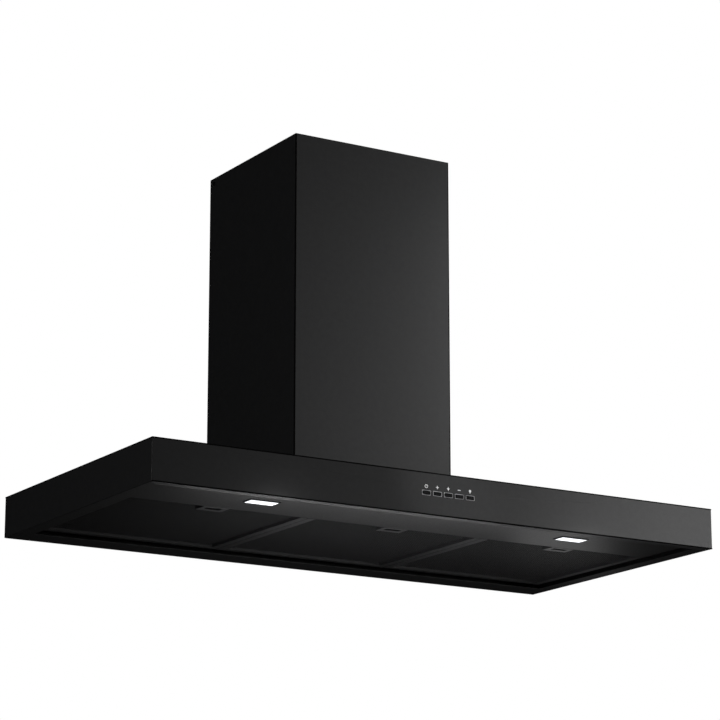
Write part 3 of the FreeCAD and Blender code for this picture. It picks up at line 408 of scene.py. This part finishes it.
def bar(x0, z0, x1, z1):
    return [(x0, z0), (x1, z0), (x1, z1), (x0, z1)]


def symbols():
    """Outlines of the five symbols, in millimetres about their centres."""
    half, reach = 0.7, 3.0                  # half a bar's width, and from centre to end
    wide, tall, waist = 3.3, 4.4, 1.5       # the star's side points, upright points and notches
    plus = [(-half, -reach), (half, -reach), (half, -half), (reach, -half), (reach, half), (half, half),
            (half, reach), (-half, reach), (-half, half), (-reach, half), (-reach, -half), (-half, -half)]
    star = []
    for turn in range(0, 360, 45):
        radius = {0: wide, 90: tall, 180: wide, 270: tall}.get(turn, waist)
        star.append((radius * math.cos(math.radians(turn)), radius * math.sin(math.radians(turn))))
    bulb = arc(2.4, -55, 235, 28, (0, 0.8)) + [(-0.9, -2.2), (0.9, -2.2)]
    return {
        "timer": [circle(3.4), circle(2.5), bar(-0.4, -0.2, 0.4, 1.5)],
        "plus": [plus],
        "light": [star],
        "minus": [bar(-reach, -half, reach, half)],
        "bulb": [bulb, bar(-0.9, -3.6, 0.9, -2.7)],
    }


def print_symbols(material):
    """Each symbol stands centred above its button."""
    rise = 6.9 * MM
    for name, outlines in symbols().items():
        low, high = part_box("button_" + name)
        centre = ((low.x + high.x) / 2, high.z + rise)
        flat_symbol("symbol_" + name, outlines, centre, material)


def painted_strip(name, profile, start, end, material):
    """A strip on the canopy or chimney, with this closed profile all the way from start to end."""
    vertices = [start + p for p in profile] + [end + p for p in profile]
    count = len(profile)
    faces = [(i, (i + 1) % count, count + (i + 1) % count, count + i) for i in range(count)]
    faces += [tuple(range(count))[::-1], tuple(range(count, 2 * count))]
    piece = new_piece(name, vertices, faces, material, "hood")
    tidy_mesh(piece.data)


def painted_edge_shade(name, start, end, legs, material):
    """Painted shade: a thin near-black strip along a folded edge of the sheet, in place of the dark that
    the rounded fold shows, as two strips that meet on the edge. Each leg is the direction in which one
    strip reaches away from the edge."""
    width, proud = 2.2 * MM, 0.06 * MM
    one, two = legs
    profile = (-proud * one - proud * two, width * one - proud * two, width * one, Vector(), width * two,
               width * two - proud * one)
    painted_strip(name, profile, Vector(start), Vector(end), material)


def paint_edge_shades(material):
    """Painted shade lines along the folded edges of the canopy and of the lower chimney."""
    right, back, up = Vector((1, 0, 0)), Vector((0, 1, 0)), Vector((0, 0, 1))
    low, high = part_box("canopy_shell")
    high.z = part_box("chimney_lower")[0].z
    for side, x, inward in (("left", low.x, right), ("right", high.x, -right)):
        painted_edge_shade("painted_shade_canopy_top_" + side, (x, low.y, high.z), (x, high.y, high.z), (inward, -up),
                  material)
    painted_edge_shade("painted_shade_canopy_low", low, (high.x, low.y, low.z), (back, up), material)
    painted_edge_shade("painted_shade_canopy_top", (low.x, low.y, high.z), (high.x, low.y, high.z), (back, -up), material)
    low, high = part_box("chimney_lower")
    painted_edge_shade("painted_shade_chimney_left", low, (low.x, low.y, high.z), (right, back), material)
    painted_edge_shade("painted_shade_chimney_right", (high.x, low.y, low.z), (high.x, low.y, high.z), (-right, back),
              material)


def bead(name, along, across, z, material):
    """A strip along X between two Y values, whose underside is rounded like a turned-back hem."""
    proud, steps = 0.8 * MM, 8
    profile = []
    for i in range(steps + 1):
        y = across[0] + (across[1] - across[0]) * i / steps
        profile.append(Vector((0, y, z - proud * math.sin(math.pi * i / steps))))
    start, end = (Vector((x, 0, 0)) for x in along)
    painted_strip(name, profile, start, end, material)


def front_hems(material):
    """The two folds along the underside of the canopy's front lip: rounded beads, with a paler copy of
    the black coat as a painted highlight for the thin light lines that they show.
    """
    width = 4.0 * MM
    low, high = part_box("canopy_shell")
    for name, side in (("hem_front", 2.5 * MM), ("hem_inner", 13.0 * MM)):
        bead(name, (low.x + side, high.x - side), (low.y + side, low.y + side + width), low.z, material)


# ---------------------------------------------------------------- stage, light and camera
def make_floor(z):
    """Pale floor, which throws less light back up than it shows, as black cloth beside it would."""
    n = Nodes("pale_floor")
    n.colour(n.ramp(n.noise(1.2, 4.0), (0.07, 0.07, 0.07), (0.09, 0.09, 0.09)))
    n.rough(n.ramp(n.noise(8.0, 3.0), 0.75, 0.9))
    pale = n.add("ShaderNodeEmission")
    pale.inputs["Color"].default_value = (0.9, 0.9, 0.9, 1.0)
    path = n.add("ShaderNodeLightPath")
    mix = n.add("ShaderNodeMixShader")
    n.join(path.outputs["Is Camera Ray"], mix.inputs["Fac"])
    n.join(n.shader.outputs["BSDF"], mix.inputs[1])
    n.join(pale.outputs["Emission"], mix.inputs[2])
    n.join(mix.outputs["Shader"], n.tree.nodes["Material Output"].inputs["Surface"])
    work = bmesh.new()
    bmesh.ops.create_circle(work, cap_ends=True, radius=40.0, segments=96)
    mesh = bpy.data.meshes.new("floor")
    work.to_mesh(mesh)
    work.free()
    mesh.materials.append(n.material)
    floor = bpy.data.objects.new("floor", mesh)
    floor.location.z = z
    bpy.context.scene.collection.objects.link(floor)


def make_world():
    """White behind the object, and a dim even surround for it to reflect."""
    world = bpy.data.worlds.new("surround")
    world.use_nodes = True
    tree = world.node_tree
    tree.nodes.clear()
    output = tree.nodes.new("ShaderNodeOutputWorld")
    seen = tree.nodes.new("ShaderNodeBackground")
    seen.inputs["Color"].default_value = (1.0, 1.0, 1.0, 1.0)
    dim = tree.nodes.new("ShaderNodeBackground")
    dim.inputs["Color"].default_value = (0.9, 0.95, 1.0, 1.0)
    dim.inputs["Strength"].default_value = 0.012
    path = tree.nodes.new("ShaderNodeLightPath")
    mix = tree.nodes.new("ShaderNodeMixShader")
    tree.links.new(path.outputs["Is Camera Ray"], mix.inputs["Fac"])
    tree.links.new(dim.outputs["Background"], mix.inputs[1])
    tree.links.new(seen.outputs["Background"], mix.inputs[2])
    tree.links.new(mix.outputs["Shader"], output.inputs["Surface"])
    bpy.context.scene.world = world


def aim(thing, target):
    thing.rotation_euler = (Vector(target) - thing.location).to_track_quat("-Z", "Y").to_euler()


def place_light(light, place):
    holder = bpy.data.objects.new(light.name, light)
    holder.location = place
    holder.visible_camera = False
    bpy.context.scene.collection.objects.link(holder)
    return holder


def area_light(name, place, target, size, energy):
    light = bpy.data.lights.new(name, "AREA")
    light.shape = "RECTANGLE"
    light.size, light.size_y = size
    light.energy = energy
    aim(place_light(light, place), target)


def make_lights():
    """Soft boxes: a large key from the right and front, small ones close to the hood, and large ones
    behind, above and to the left, which mostly light the faces that the camera doesn't see.
    Each row holds a name, a place, the point it faces, its size and its power in watts."""
    boxes = (
        ("key", (3.2, -3.2, 1.6), (0.1, -0.6, 0.1), (2.4, 2.4), 22.5),
        ("canopy_end", (1.0, -1.2, -0.1), (0.3, -0.6, -0.15), (0.4, 0.6), 3.0),
        ("chimney_edge", (0.55, -0.62, 0.36), (0.1, -0.34, 0.33), (0.1, 0.55), 1.0),
        ("left_fill", (-2.5, -0.6, 0.0), (-0.5, -0.3, 0.1), (1.0, 1.0), 7.0),
        ("under_middle", (-0.04, -0.4, -0.44), (-0.04, -0.4, -0.2), (0.7, 0.05), 1.25),
        ("under_right", (0.53, -0.2, -0.35), (0.53, -0.24, -0.2), (0.2, 0.1), 0.12),
        ("behind", (1.4, 2.6, 1.6), (0.1, -0.2, 0.2), (2.2, 2.0), 18.0),
        ("behind_right", (3.2, 2.4, 1.4), (0.2, -0.3, 0.1), (2.0, 2.0), 26.0),
        ("front_left_high", (-3.2, -3.0, 2.6), (0.0, -0.5, 0.1), (2.4, 2.0), 17.0),
        ("overhead", (0.0, 0.6, 3.4), (0.0, -0.3, 0.0), (2.4, 2.0), 26.0),
    )
    for name, place, target, size, power in boxes:
        area_light(name, place, target, size, power)
    front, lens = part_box("canopy_shell")[0].y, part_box("lamp_lens_left")[0].y
    for name in ("left", "right"):
        lamp_spill(name, "front_spill", front - 45 * MM, 35 * MM, 0.13)
        lamp_spill(name, "panel_spill", lens, 60 * MM, 0.035)
    control_spot()


def lamp_spill(name, label, y, drop, power):
    """Glow of a lamp, from a point this far below its lens."""
    low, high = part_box("lamp_lens_" + name)
    light = bpy.data.lights.new(label + "_" + name, "POINT")
    light.energy = power
    light.shadow_soft_size = 0.05
    place_light(light, ((low.x + high.x) / 2, y, low.z - drop))


def control_spot():
    """Narrow beam on the buttons and their symbols, from the side where the paint doesn't mirror it."""
    low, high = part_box("button_guide")
    middle = Vector(((low.x + high.x) / 2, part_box("canopy_shell")[0].y, high.z))
    light = bpy.data.lights.new("control_spot", "SPOT")
    light.energy = 24.0
    light.spot_size = math.radians(15.0)
    light.spot_blend = 1.0
    light.shadow_soft_size = 0.03
    aim(place_light(light, middle + Vector((-0.35, -0.75, 0.45))), middle)


def make_camera():
    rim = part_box("canopy_shell")[0]
    camera = bpy.data.cameras.new("camera")
    camera.lens = VIEW_LENS
    camera.clip_end = 200.0
    holder = bpy.data.objects.new("camera", camera)
    holder.location = rim + Vector(VIEW_FROM)
    yaw, pitch = math.radians(VIEW_YAW), math.radians(VIEW_PITCH)
    ahead = Vector((math.sin(yaw) * math.cos(pitch), math.cos(yaw) * math.cos(pitch), math.sin(pitch)))
    holder.rotation_euler = ahead.to_track_quat("-Z", "Y").to_euler()
    bpy.context.scene.collection.objects.link(holder)
    bpy.context.scene.camera = holder


# ---------------------------------------------------------------- the scene
def main():
    make_camera()
    make_world()
    make_lights()
    make_floor(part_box("canopy_shell")[0].z - FLOOR_DROP)
    materials = make_materials()
    dress_frame(materials)
    for name in FILTERS:
        body = "filter_" + name
        expanded_sheet("expanded_sheet_" + name, "filter_face_" + name, body, materials["filter_sheet"])
        zigzag_spring("zigzag_spring_" + name, "latch_spring_" + name, body,
                      materials["bright_steel"])
    print_symbols(printed("printed_white"))
    # The hems' paler copy of the black coat is a painted highlight.
    front_hems(powder_coat("painted_hem_highlight", 0.06, 0.075, 0.4, 0.48))
    # The fold strips' near-black coat is painted shade along the folded edges.
    paint_edge_shades(powder_coat("painted_fold_shade", 0.001, 0.002, 0.85, 0.95, 0.08))
    bpy.context.scene.view_settings.view_transform = "Standard"


main()
